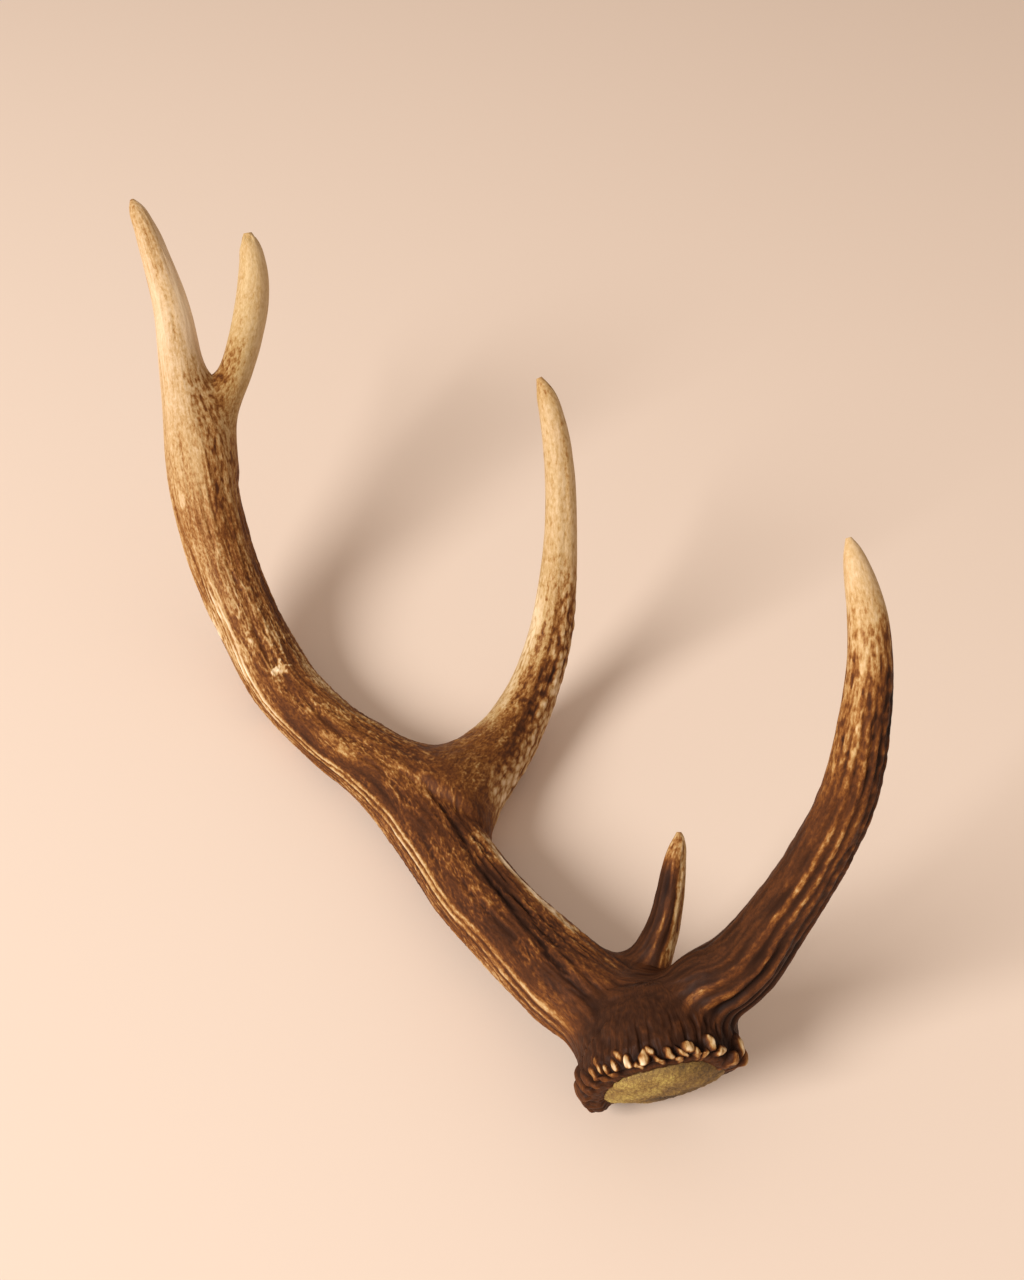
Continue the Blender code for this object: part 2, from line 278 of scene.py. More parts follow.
class Limb:
    """A path with a radius, and directions across it: front faces FRONT, side is at right angles.

    blend is the width over which the limb merges with the others, and it is reached at the
    length leaves, where the limb comes clear of them.
    """

    def __init__(self, name, stations, blend, leaves):
        rows = smooth_path(stations, STEP)
        self.name = name
        self.blend = blend
        self.leaves = leaves
        self.centres = rows[:, :3]
        self.along = lengths(self.centres)
        self.length = self.along[-1]
        self.radii = np.maximum(rows[:, 3], THINNEST)
        self.travel = unit(np.gradient(self.centres, self.along, axis=0))
        self.front = unit(FRONT - self.travel * (self.travel @ FRONT)[:, None])
        self.side = np.cross(self.travel, self.front)
        margin = self.radii.max() + MARGIN
        self.box = (self.centres.min(axis=0) - margin, self.centres.max(axis=0) + margin)

    def value(self, table, s):
        """A table of the path read at the lengths s, straight between its rows."""
        if table.ndim == 1:
            return np.interp(s, self.along, table)
        return np.stack([np.interp(s, self.along, table[:, k]) for k in range(3)], axis=-1)

    def outward(self, s, angle):
        """The direction out of the limb: front times cosine plus side times sine."""
        front, side = self.value(self.front, s), self.value(self.side, s)
        return front * np.cos(angle)[..., None] + side * np.sin(angle)[..., None]

    def locate(self, points):
        """For each point its length along the path, its angle, how far it is outside, and the
        direction out: the nearest path row, corrected by the offset along the travel."""
        s = np.empty(len(points))
        size = (self.centres**2).sum(axis=1)
        for start in range(0, len(points), BLOCK):
            block = points[start : start + BLOCK]
            gap = size[None, :] - 2.0 * block @ self.centres.T
            near = gap.argmin(axis=1)
            slip = ((block - self.centres[near]) * self.travel[near]).sum(axis=1)
            s[start : start + BLOCK] = self.along[near] + np.clip(slip, -STEP, STEP)
        s = np.clip(s, 0.0, self.length)
        away = points - self.value(self.centres, s)
        behind = np.maximum(-((points - self.centres[0]) @ self.travel[0]), 0.0)
        away = away + np.outer(np.where(s > 0.0, 0.0, behind), self.travel[0])
        distance = np.linalg.norm(away, axis=1)
        out = unit(away)
        front, side = self.value(self.front, s), self.value(self.side, s)
        angle = np.arctan2((out * side).sum(axis=1), (out * front).sum(axis=1))
        return s, angle, distance - self.girth(s, angle) + behind * (s <= 0.0), out

    def girth(self, s, angle):
        """The radius at s, with the broad hollows and flats of the limb's own section."""
        return self.value(self.radii, s) * section(self.name, s, angle)


def section(name, s, angle):
    """The share of the radius that a limb's section has at an angle: 1 plus its bell-shaped
    changes, each along its own stretch of the limb."""
    share = np.ones(np.shape(s))
    for change, middle, breadth, *stretch in SECTIONS.get(name, ()):
        share = share + change * hump(angle, middle, breadth) * between(s, *stretch)
    return share


def burr_reach(angle):
    """The share of its radius that the ring has at an angle: 1 and a few bell-shaped changes."""
    turn = np.mod(angle + 0.5 * math.pi, FULL_TURN) - 0.5 * math.pi
    return 1.0 + sum(change * hump(turn, middle, breadth) for middle, breadth, change in BURR_SHAPE)


class Burr:
    """The ring at the foot: a profile of distance along the axis and radius, carried round."""

    name = "burr"
    blend = 9.0
    leaves = 1.0
    # The last row of the outer side, below which the profile turns under.
    outer_end = 9

    def __init__(self):
        self.box = (BURR_CENTRE - 1.5 * MARGIN, BURR_CENTRE + 1.5 * MARGIN)
        self.rows = np.array(BURR_PROFILE)
        self.knots = lengths(self.rows)
        self.length = self.knots[-1]

    def profile(self, v):
        """Distance along the axis and radius at the profile length v: each is read evenly and
        rounded by a running mean with bell-shaped weights."""
        fine = np.linspace(0.0, self.length, 241)
        weights = np.hanning(19)
        weights /= weights.sum()
        half = len(weights) // 2
        lines = [np.interp(fine, self.knots, column) for column in self.rows.T]
        lines = [np.pad(line, half, mode="reflect", reflect_type="odd") for line in lines]
        return [np.interp(v, fine, np.convolve(line, weights, mode="valid")) for line in lines]

    def locate(self, points):
        """Profile length, angle, how far outside the ring, and the direction out of it."""
        away = points - BURR_CENTRE
        axial = away @ BURR_AXIS
        across, down = away @ BURR_ACROSS, away @ BURR_DOWN
        angle = np.arctan2(down, across)
        fine = np.linspace(0.0, self.knots[self.outer_end], 161)
        a, r = self.profile(fine)
        v = np.interp(-axial, -a, fine)
        radius = np.interp(-axial, -a, r) * burr_reach(angle)
        fall = np.clip(np.interp(-axial, -a, np.gradient(r, a)), -2.0, 2.0)
        inside = (np.hypot(across, down) - radius) / np.sqrt(1.0 + fall * fall)
        far = np.maximum(axial - BURR_PROFILE[0][0], 0.0)
        spoke = unit(away - np.outer(axial, BURR_AXIS))
        return v, angle, inside + far * 2.0, unit(spoke - np.outer(fall, BURR_AXIS))


BEAM = Limb("beam", BEAM_PATH, 0.0, 1.0)
INNER = Limb("crown_inner_tine", INNER_PATH, 11.0, 14.0)
TREZ = Limb("trez_tine", TREZ_PATH, 22.0, 8.0)
BEZ = Limb("bez_tine", BEZ_PATH, 9.0, 6.0)
BROW = Limb("brow_tine", BROW_PATH, 6.0, 8.0)
BURR = Burr()
FORM = (BEAM, INNER, TREZ, BROW, BURR, BEZ)


# ---- relief and colour
#
# The last number of each noise is its own seed.


def cylinder(limb, s, angle):
    """A limb unrolled into a straight round bar: length, and radius times cosine and sine."""
    radius = limb.value(limb.radii, s)
    return s, radius * np.cos(angle), radius * np.sin(angle)


def streaks(bar, length, width, seed):
    """Noise drawn out along a limb: cells of the given length and width."""
    return grain_noise(bar[0] / length, bar[1] / width, bar[2] / width, seed)


def crests(bar, length, width, seed):
    """Sharp lines where streaks cross nought: 1 less 3.2 times their height, a little rounded."""
    height = streaks(bar, length, width, seed)
    return 1.0 - 3.2 * np.sqrt(height * height + 0.002)


def worms(bar, length, width, bend, seed):
    """Meandering ridges: 1 where streaks cross nought, 0 from a little way off, after the way
    across has been bent by a wider noise."""
    shift = bend * streaks(bar, 0.6 * length, 2.2 * width, seed + 1)
    bent = (bar[0], bar[1] + shift, bar[2] + shift)
    return 1.0 - np.clip(np.abs(streaks(bent, length, width, seed)) / 0.26, 0.0, 1.0)


def beads(bar, length, width, seed):
    """Rounded grains in cells drawn out along the limb: 1 minus the distance squared."""
    gap, own = cell_noise(bar[0] / length, bar[1] / width, bar[2] / width, seed)
    return np.clip(1.0 - (gap / 0.75) ** 2, 0.0, 1.0), own


# Tone by length along each limb, from 0 nearly black to 1 ivory.
BEAM_TONE = [
    (0, 0.18), (30, 0.21), (80, 0.22), (130, 0.24), (170, 0.25), (215, 0.29), (260, 0.35),
    (300, 0.41), (340, 0.57), (380, 0.74), (420, 0.80), (450, 0.76), (478, 0.61),
]
INNER_TONE = [(0, 0.55), (20, 0.58), (40, 0.68), (60, 0.74), (100, 0.74), (107, 0.66)]
TREZ_TONE = [
    (0, 0.33), (38, 0.36), (62, 0.41), (88, 0.49), (122, 0.65), (152, 0.74), (200, 0.76),
    (216, 0.62),
]
BROW_TONE = [
    (0, 0.14), (28, 0.15), (64, 0.18), (104, 0.23), (134, 0.29), (152, 0.37), (166, 0.48),
    (180, 0.66), (192, 0.74), (206, 0.74),
]
# How much darker the trez tine's outer side is, by length.
TREZ_SHADE = [(0, 0.0), (50, 0.05), (95, 0.20), (130, 0.18)]

# The pale stripes down the beam's outer side: their line as length and angle, how much wider they
# are near the burr, and for each its angle from the line, its half width and how pale it is.
STRIPE_LINE = [
    (0, -0.9), (17, -0.8), (28, -0.72), (52, -0.66), (74, -0.6), (95, -0.6), (117, -0.57),
    (142, -0.6), (162, -0.72), (185, -0.62), (199, -0.71), (215, -0.76), (275, -0.66), (335, -0.5),
]
STRIPE_WIDTH = [(20, 2.0), (50, 1.6), (100, 1.0)]
STRIPES = [
    (0.08, 0.058, 0.42),
    (-0.08, 0.052, 0.44),
    (-0.25, 0.045, 0.24),
    (-0.37, 0.045, 0.20),
    (-0.52, 0.050, 0.16),
]
# The beam's long dark furrow, as length and angle, and where its scar is.
FURROW_LINE = [(15, 0.08), (25, 0.15), (55, 0.42), (90, 0.68), (120, 0.76)]
SCAR_AT, SCAR_ANGLE = 242, 0.33


def beam_stripes(s, angle, bar, fine):
    """The pale stripes, the calm band round them, and the stretch of the beam they run along."""
    offset = angle - read(STRIPE_LINE, s) + 0.06 * streaks(bar, 30.0, 30.0, 6)
    ragged = offset + 0.022 * fine + 0.02 * streaks(bar, 3.0, 2.0, 9)
    widen = read(STRIPE_WIDTH, s)
    each = [pale * hump(ragged, middle * widen, half * widen) for middle, half, pale in STRIPES]
    stretch = between(s, 6, 56, 265, 335)
    broken = np.clip(1.05 + 0.6 * streaks(bar, 16.0, 5.0, 10), 0.45, 1.3)
    return np.max(each, axis=0) * stretch * broken, hump(offset, 0.0, 0.34) * stretch, stretch


def beam_furrow(s, angle, patch):
    """The long dark furrow and a narrower, shallower one beside it."""
    course = angle + 0.04 * patch - read(FURROW_LINE, s)
    both = hump(course, 0.0, 0.11) + 0.55 * hump(course, 0.29, 0.065)
    return both * between(s, 10, 22, 112, 145)


def beam_scar(s, angle, bar):
    """The small pale scar at the bend: a bell with an edge made ragged by noise."""
    scar = hump(s, SCAR_AT, 3.4) * hump(angle, SCAR_ANGLE, 0.24) + 0.60 * streaks(bar, 2.6, 2.2, 13)
    near = hump(s, SCAR_AT, 6.0) * hump(angle, SCAR_ANGLE, 0.42)
    return smooth(0.42, 0.58, scar) * smooth(0.2, 0.5, near)


def beam_rims(s, angle, fine):
    """The pale rim towards the bez tine, and the paler crotch above the trez tine."""
    rim = hump(angle, 1.36, 0.11) * between(s, 42, 62, 98, 116)
    rim += 0.35 * hump(angle, 1.25, 0.16) * between(s, 16, 34, 44, 64)
    crotch = hump(angle, 1.30, 0.20) * between(s, 172, 190, 225, 260)
    return 0.58 * rim * (1.0 + 0.4 * fine) + 0.22 * crotch


def beam_shades(s, angle, mottle, speck):
    """The darker inner side below the crown, and the outer tine's grey front, painted light on its
    right edge, and mottled tip."""
    across = np.sin(angle)
    inner_side = smooth(0.0, 0.55, across) * between(s, 215, 270, 384, 402)
    shade = -inner_side * (0.10 + 0.10 * mottle + 0.20 * speck * smooth(300, 350, s))
    grey = hump(angle, 0.12, 0.42) * between(s, 372, 400, 446, 466)
    shade -= grey * (0.09 + 0.08 * mottle + 0.05 * speck)
    # Painted light: the outer tine's right edge is made lighter to stand in for soft fill light.
    shade += 0.13 * smooth(0.40, 0.95, across) * smooth(395, 415, s)
    return shade - 0.10 * smooth(0.0, 0.4, mottle) * smooth(462, 474, s)


def beam_pattern(s, angle):
    """Relief (mm), tone (0 dark to 1 ivory), green and gloss of the beam and its outer tine.

    Relief is ridges, meandering worms and the stripes, less the furrow.  Tone pales along the
    beam and takes a share of the same forms, of a rim, of a row of beads and of two marks.
    """
    bar = cylinder(BEAM, s, angle)
    broad = streaks(bar, 75.0, 6.5, 1)
    ridge = crests(bar, 34.0, 2.9, 2)
    fine = streaks(bar, 8.0, 1.3, 3)
    patch = streaks(bar, 30.0, 11.0, 5)
    mottle = streaks(bar, 7.0, 2.6, 7)
    speck = smooth(0.02, 0.40, streaks(bar, 3.6, 1.7, 18))
    worm = np.maximum(worms(bar, 9.0, 2.6, 2.2, 8), 0.8 * worms(bar, 6.0, 1.9, 1.6, 15))
    long_worm = worms(bar, 26.0, 2.4, 1.5, 17)
    bead, own = beads(bar, 3.2, 1.9, 20)
    low = 1.0 - smooth(300, 375, s)
    wormy = between(s, 16, 55, 270, 330)
    bend = between(s, 215, 255, 335, 378)
    edge = smooth(0.55, 0.85, np.sin(angle)) * between(s, 94, 104, 112, 124)
    stripe, band, stretch = beam_stripes(s, angle, bar, fine)
    furrow = beam_furrow(s, angle, patch)
    scar = beam_scar(s, angle, bar)

    relief = (0.75 * broad + 0.30 * ridge + 0.08 * fine) * (0.30 + 0.70 * low) * (1.0 - 0.8 * band)
    relief += 0.30 * worm * wormy * (1.0 - band) + 0.22 * long_worm * bend + 0.20 * edge * bead
    relief += 1.3 * stripe - 0.15 * band - 0.9 * furrow + 0.25 * scar

    tone = read(BEAM_TONE, s) + beam_shades(s, angle, mottle, speck) + beam_rims(s, angle, fine)
    tone += (0.35 + 0.65 * low) * (0.10 * broad + 0.05 * ridge + 0.04 * fine) + 0.05 * patch
    gold = smooth(-0.45, 0.15, streaks(bar, 20.0, 7.0, 11))
    tone += 0.30 * worm**1.5 * wormy * gold * (1.0 - 0.7 * band)
    grain = crests(bar, 26.0, 1.7, 12)
    tone += (0.06 * grain + 0.20 * long_worm * smooth(345, 290, s)) * bend
    tone += 0.05 * crests(bar, 34.0, 1.5, 19) * smooth(340, 380, s)
    tone += stripe - 0.07 * band * stretch * smooth(300, 240, s) - 0.15 * furrow
    tone += edge * (0.34 * (bead - 0.35) * (0.4 + own) + 0.05)
    mark = hump(s, 337, 3.4) * hump(angle, -0.60, 0.13) + 0.4 * streaks(bar, 3.0, 1.6, 14)
    tone += 0.40 * scar + 0.16 * smooth(0.35, 0.6, mark)

    green = 0.30 * between(s, 140, 165, 190, 225) + 0.25 * patch - 0.3 * scar
    return relief, tone, green, 0.5 + 0.3 * fine


def inner_pattern(s, angle):
    """Relief, tone, green and gloss of the crown's inner tine: golden and smooth, brown below."""
    bar = cylinder(INNER, s, angle)
    up = s - INNER_ROOT
    across = np.sin(angle)
    fine = streaks(bar, 14.0, 2.0, 21)
    mottle = streaks(bar, 8.0, 3.0, 22)
    speck = smooth(0.05, 0.40, streaks(bar, 3.2, 1.6, 25))
    brown = smooth(0.45, -0.35, across) * smooth(66, 34, up)
    relief = 0.10 * fine + 0.12 * crests(bar, 30.0, 4.0, 23) * smooth(60, 20, up)
    relief -= 0.8 * smooth(0.1, 0.5, streaks(bar, 3.0, 3.0, 24)) * smooth(100, 106, up)
    tone = read(INNER_TONE, up) - brown * (0.16 + 0.16 * mottle + 0.18 * speck)
    tone += 0.04 * fine + 0.06 * mottle
    # Painted light: the right side is made a little lighter, standing in for soft fill light; specks
    # darken the lower part.
    tone += 0.06 * smooth(0.4, 0.95, across) - 0.05 * speck * smooth(100, 70, up)
    return relief, tone, 0.65 + 0.3 * mottle, 0.5 + 0.2 * fine


def trez_pattern(s, angle):
    """Relief, tone, green and gloss of the trez tine: beaded and brown outside, ivory above."""
    bar = cylinder(TREZ, s, angle)
    across = np.sin(angle)
    bead, own = beads(bar, 3.9, 2.3, 31)
    worm = worms(bar, 7.0, 2.6, 2.2, 35)
    ridge = crests(bar, 26.0, 3.0, 32)
    fine = streaks(bar, 9.0, 1.4, 33)
    mottle = streaks(bar, 9.0, 3.0, 34)
    outer = smooth(-0.10, 0.55, across + 0.22 * mottle) * smooth(146, 122, s)
    low = 1.0 - smooth(58, 92, s)
    beaded = outer * smooth(8, 26, s)
    relief = beaded * (0.42 * bead * (0.4 + 0.8 * own))
    relief += 0.16 * ridge * np.clip(low + outer, 0.0, 1.0)
    relief += 0.26 * worm * low * (1.0 - beaded) + 0.07 * fine
    edge = smooth(-0.40, -0.80, across) * between(s, 40, 62, 112, 140)
    tone = read(TREZ_TONE, s) + 0.26 * edge - read(TREZ_SHADE, s) * outer
    gold = smooth(-0.25, 0.30, streaks(bar, 16.0, 7.0, 36))
    tone += 0.22 * worm**1.5 * gold * low * (1.0 - beaded)
    tone += beaded * (0.42 * (bead - 0.34) * (0.75 + 0.5 * own) + 0.08 * ridge)
    tone += 0.17 * beaded * smooth(0.30, 0.80, across) * smooth(112, 84, s)
    tone += 0.10 * beaded * smooth(62, 36, s)
    speck = smooth(0.10, 0.42, streaks(bar, 3.0, 1.5, 38))
    tone -= 0.14 * speck * smooth(50, 70, s) * (1.0 - 0.5 * smooth(110, 150, s)) * (1.0 - beaded)
    grain = crests(bar, 20.0, 1.8, 37)
    tone += 0.07 * grain * between(s, 62, 84, 122, 150)
    gutter = hump(angle + 0.06 * mottle, 0.10, 0.15) * between(s, 30, 55, 118, 140)
    tone -= 0.20 * gutter
    streak = hump(angle - 0.1 * mottle, 0.55, 0.16) * between(s, 158, 173, 198, 208)
    tone -= 0.12 * streak
    tone += 0.035 * fine + 0.07 * mottle * smooth(158, 98, s)
    return relief, tone, (0.35 + 0.25 * mottle) * (1.0 - beaded), 0.5 - 0.3 * beaded


def bez_pattern(s, angle):
    """Relief, tone, green and gloss of the bez tine: dark with a pale right edge and tip."""
    bar = cylinder(BEZ, s, angle)
    ridge = crests(bar, 24.0, 2.6, 41)
    fine = streaks(bar, 7.0, 1.2, 42)
    speck = streaks(bar, 1.8, 0.9, 43)
    across = np.sin(angle)
    left = BEZ.length - s
    tip = smooth(15.0, 5.0, left)
    shown = smooth(54.0, 47.0, left)
    pale = smooth(0.14, 0.50, across + 0.12 * fine) * shown
    line = hump(across, -0.30, 0.11) * shown * (1.0 - tip)
    relief = 0.25 * ridge + 0.08 * fine - 0.25 * pale
    tone = 0.13 + 0.05 * ridge + 0.06 * fine + 0.46 * tip + 0.18 * line * (1.0 + fine)
    tone = tone + pale * (0.50 - 0.40 * tip + 0.05 * ridge + 0.05 * fine)
    tone -= 0.15 * smooth(0.05, 0.45, speck) * np.clip(pale + tip, 0.0, 1.0)
    return relief, tone, 0.10 + 0.1 * fine, 0.1 + 0.2 * fine


def brow_pattern(s, angle):
    """Relief, tone, green and gloss of the brow tine: long ridges, beads outside, ivory tip."""
    bar = cylinder(BROW, s, angle)
    across = np.sin(angle)
    mottle = streaks(bar, 9.0, 2.6, 51)
    wander = 0.16 * streaks(bar, 50.0, 14.0, 52)
    turns = 15.0 * (angle + 1.2 * wander + 0.055 * streaks(bar, 5.0, 4.0, 60))
    ridge = np.cos(turns) * smooth(-0.90, -0.70, across)
    small = crests(bar, 24.0, 2.4, 53)
    bead, own = beads(bar, 2.8, 1.8, 54)
    fine = streaks(bar, 7.0, 1.2, 55)
    up = smooth(14, 48, s)
    body = 1.0 - smooth(138, 172, s)
    outer = smooth(0.30, 0.75, across) * between(s, 70, 105, 158, 174)
    deep = sum(hump(angle + wander, middle, 0.085) for middle in (0.22, 0.62, 1.02))
    deep = deep * between(s, 4, 16, 46, 84)
    blob, size = beads(bar, 5.5, 2.8, 58)
    relief = body * up * (0.32 * ridge + 0.14 * small + 0.20 * blob * size) - 0.7 * deep
    relief += 0.26 * outer * (bead - 0.4) * (0.4 + 0.8 * own) + 0.06 * fine
    tone = read(BROW_TONE, s)
    broken = smooth(0.15, 0.65, blob * (0.5 + 0.7 * size))
    lanes = smooth(-0.74, -0.48, across) * (1.0 - 0.75 * smooth(0.30, 0.60, across))
    line = smooth(-0.05, 0.95, ridge + 0.35 * small) * lanes * smooth(4, 34, s)
    line *= np.clip(0.75 + 0.7 * streaks(bar, 20.0, 4.0, 61), 0.35, 1.0)
    tone += body * (0.27 * line * (0.50 + 0.60 * broken) + 0.05 * small)
    tone -= 0.06 * body * smooth(0.2, -0.8, ridge)
    tone -= 0.12 * deep
    tone += 0.26 * outer * (bead - 0.50) * (0.4 + own) - 0.10 * outer * smooth(134, 164, s)
    speck = smooth(0.02, 0.40, streaks(bar, 2.6, 1.2, 59))
    tone -= 0.17 * speck * between(s, 128, 146, 172, 192)
    shoulder = between(s, 118, 138, 166, 184)
    tone += shoulder * (0.10 * smooth(0.0, -0.5, across) - 0.12 * smooth(0.1, 0.6, across))
    grain = crests(bar, 16.0, 1.7, 57)
    fade = between(s, 120, 145, 172, 192)
    tone += fade * (0.12 * mottle + 0.09 * grain) + 0.03 * fine
    return relief, tone, 0.25 + 0.2 * mottle, 0.5 + 0.3 * fine


# The pearls of the burr's front, left to right: direction in degrees, distance along the axis,
# half width, half length, height, lean, and how pale the worn top is.
FRONT_PEARLS = [
    (-186, -2.6, 1.9, 4.2, 1.5, 0.35, 0.10), (-177, 0.4, 1.4, 4.6, 1.3, 0.20, 0.15),
    (-171, -3.6, 1.7, 3.0, 1.5, 0.45, 0.10), (-165, -1.0, 1.3, 4.4, 1.3, 0.30, 0.20),
    (-159, -3.8, 1.5, 3.6, 1.5, 0.50, 0.15), (-154, -0.6, 1.1, 4.0, 1.3, 0.20, 0.25),
    (-148, 1.8, 0.9, 3.2, 1.3, 0.25, 0.45), (-147, -4.0, 1.5, 3.0, 1.4, 0.50, 0.10),
    (-142, -0.2, 0.9, 2.6, 1.4, 0.15, 0.75), (-135, 0.0, 0.9, 3.0, 1.4, 0.15, 0.65),
    (-138, -4.0, 1.4, 2.6, 1.3, 0.40, 0.15), (-131, 2.8, 1.0, 2.4, 1.3, 0.20, 0.55),
    (-125, 0.0, 1.2, 3.2, 1.8, 0.15, 0.90), (-119, -2.6, 1.2, 2.8, 1.5, 0.35, 0.50),
    (-114, -0.4, 1.5, 3.5, 2.1, -0.10, 1.00), (-109, 1.8, 1.3, 2.0, 1.7, 0.25, 0.85),
    (-104, -2.6, 1.4, 3.2, 1.6, 0.45, 0.45), (-97, -1.2, 1.4, 3.0, 1.5, 0.30, 0.45),
    (-91, -3.8, 1.5, 2.2, 1.5, 0.35, 0.40), (-88, -1.4, 1.1, 3.2, 1.5, 0.50, 0.50),
    (-84, 0.6, 1.9, 2.4, 2.0, 0.30, 0.70), (-78, -2.8, 1.4, 3.4, 1.6, 0.20, 0.50),
    (-72, -3.2, 1.2, 3.0, 1.4, -0.10, 0.40), (-67, 1.0, 1.6, 3.2, 2.3, 0.10, 0.80),
    (-60, -2.8, 1.6, 3.2, 1.9, -0.40, 0.75), (-45, -4.0, 1.8, 2.6, 2.0, 0.00, 0.30),
    (-36, 0.4, 1.9, 4.0, 2.4, 0.05, 0.95), (-24, -2.6, 1.9, 3.4, 2.1, 0.10, 0.40),
    (-12, -0.6, 1.7, 3.6, 1.7, 0.10, 0.50),
]
BACK_PEARLS = 27
# The deeper groove at the neck's left: distance along the axis, direction in degrees.
LEFT_GROOVE = [(3, -136), (8, -141), (15, -150), (22, -154)]


def all_pearls():
    """The front's pearls, and evenly spaced ones of drawn sizes round the side below."""
    draw = np.random.default_rng(7)
    turn = np.linspace(-2.0, 168.0, BACK_PEARLS)
    back = np.stack(
        [
            turn + draw.uniform(-1.6, 1.6, BACK_PEARLS),
            draw.uniform(-3.4, 1.2, BACK_PEARLS),
            draw.uniform(1.1, 1.8, BACK_PEARLS),
            draw.uniform(2.4, 4.0, BACK_PEARLS),
            draw.uniform(0.9, 1.8, BACK_PEARLS),
            draw.uniform(-0.3, 0.3, BACK_PEARLS),
            draw.uniform(0.1, 0.8, BACK_PEARLS),
        ],
        axis=-1,
    )
    return np.concatenate([np.array(FRONT_PEARLS), back])


def pearls(angle, axial, ring):
    """The pearls' height and paleness: half ellipsoids, the highest at each point, set out on
    the ring by RING times the angle, leaning, and bent a little by noise."""
    bend_x = 0.55 * streaks(ring, 2.4, 2.4, 67)
    bend_y = 1.00 * streaks(ring, 3.0, 3.0, 68)
    dome = np.zeros(axial.shape)
    pale = np.zeros(axial.shape)
    for turn, place, half_width, half_length, height, lean, top in all_pearls():
        x = np.mod(angle - math.radians(turn) + math.pi, FULL_TURN) - math.pi
        y = axial - place - PEARL_SHIFT * (turn < FRONT_END) + bend_y
        x = (x * RING + lean * y + bend_x) / PEARL_WIDTH
        inside = np.clip(1.0 - (x / half_width) ** 2 - (y / half_length) ** 2, 0.0, 1.0)
        raised = PEARL_HEIGHT * height * np.sqrt(inside)
        worn = 0.22 * (WORN_PEARLS[0] < turn < WORN_PEARLS[1]) + 0.78 * top
        pale = np.where(raised > dome, worn * smooth(0.20, 0.80, inside), pale)
        dome = np.maximum(dome, raised)
    return dome * (1.0 - 0.8 * smooth(-4.0, -5.2, axial)), pale


def burr_pattern(v, angle):
    """Relief, tone, green and gloss of the burr and its neck.

    Flutes, cosines whose phase wanders, run up the neck from between the pearls, with two deeper
    grooves at the left.
    """
    axial, radius = BURR.profile(v)
    ring = (axial, radius * np.cos(angle), radius * np.sin(angle))
    dome, pale = pearls(angle, axial, ring)
    fine = streaks(ring, 2.6, 1.2, 61)
    wrinkle = crests(ring, 9.0, 2.6, 62) * (1.0 - 0.8 * smooth(5.0, 13.0, axial))
    wander = 0.5 * streaks(ring, 14.0, 12.0, 63)
    sway = streaks(ring, 9.0, 5.0, 64)
    groove = smooth(-0.1, -0.95, np.cos(FLUTES * angle + 4.0 * wander + 1.8 * sway))
    depth = np.clip(0.30 + 0.9 * streaks(ring, 16.0, 6.0, 65), 0.0, 1.0)
    bumps = streaks(ring, 2.6, 2.0, 69)
    stem = smooth(1.5, 4.5, axial)
    fade = stem * smooth(21.0, 6.0, axial)
    under = smooth(-3.6, -5.0, axial)
    turned = np.degrees(np.mod(angle, FULL_TURN)) - 360.0 + 6.0 * wander
    turned = turned - read(LEFT_GROOVE, axial)
    left = (hump(turned, 0.0, 4.2) + 0.6 * hump(turned, -15.0, 3.4)) * smooth(3.0, 8.0, axial)
    gaps = smooth(0.7, 0.1, dome) * (1.0 - stem) * (1.0 - under)
    relief = dome - 1.3 * groove * fade * depth + (0.16 + 0.10 * stem * fade) * wrinkle
    relief += 0.14 * fine + 0.22 * bumps * stem - 0.9 * left - 0.6 * gaps
    tone = 0.14 + 0.04 * fine + 0.04 * wrinkle - 0.12 * groove * fade * depth - 0.13 * gaps
    tone += 0.05 * smooth(0.5, 1.3, dome) + 0.72 * pale * (0.90 + 0.5 * fine) + 0.05 * under
    tone += (0.04 * bumps + 0.08 * smooth(0.35, 0.7, bumps) * depth) * stem - 0.07 * left
    return relief, tone, 0.10 + 0.15 * fine, 0.45 + 0.3 * fine


PATTERNS = {
    "beam": beam_pattern,
    "crown_inner_tine": inner_pattern,
    "trez_tine": trez_pattern,
    "bez_tine": bez_pattern,
    "brow_tine": brow_pattern,
    "burr": burr_pattern,
}


# ---- blended form


def blended(points):
    """The blended form at each point: depth outside it, and each limb's share and location.

    Two depths a and b become min(a, b) - k (1 - |a - b| / k)^2 / 4 within the blend width k.
    A limb is only asked about points near its box; elsewhere its share is nought.
    """
    depth = np.full(len(points), FAR)
    shares, found = [], []
    for limb in FORM:
        near = ((points > limb.box[0]) & (points < limb.box[1])).all(axis=1)
        place = [np.zeros(len(points)), np.zeros(len(points)), np.full(len(points), FAR)]
        place.append(np.zeros((len(points), 3)))
        if near.any():
            for kept, found_near in zip(place, limb.locate(points[near])):
                kept[near] = found_near
        width = np.maximum(limb.blend * smooth(0.0, limb.leaves, place[0]), LEAST_BLEND)
        lean = np.clip(0.5 + 0.5 * (place[2] - depth) / width, 0.0, 1.0)
        depth = place[2] * (1.0 - lean) + depth * lean - width * lean * (1.0 - lean)
        shares = [share * lean for share in shares] + [1.0 - lean]
        found.append(place)
    return depth, shares, found


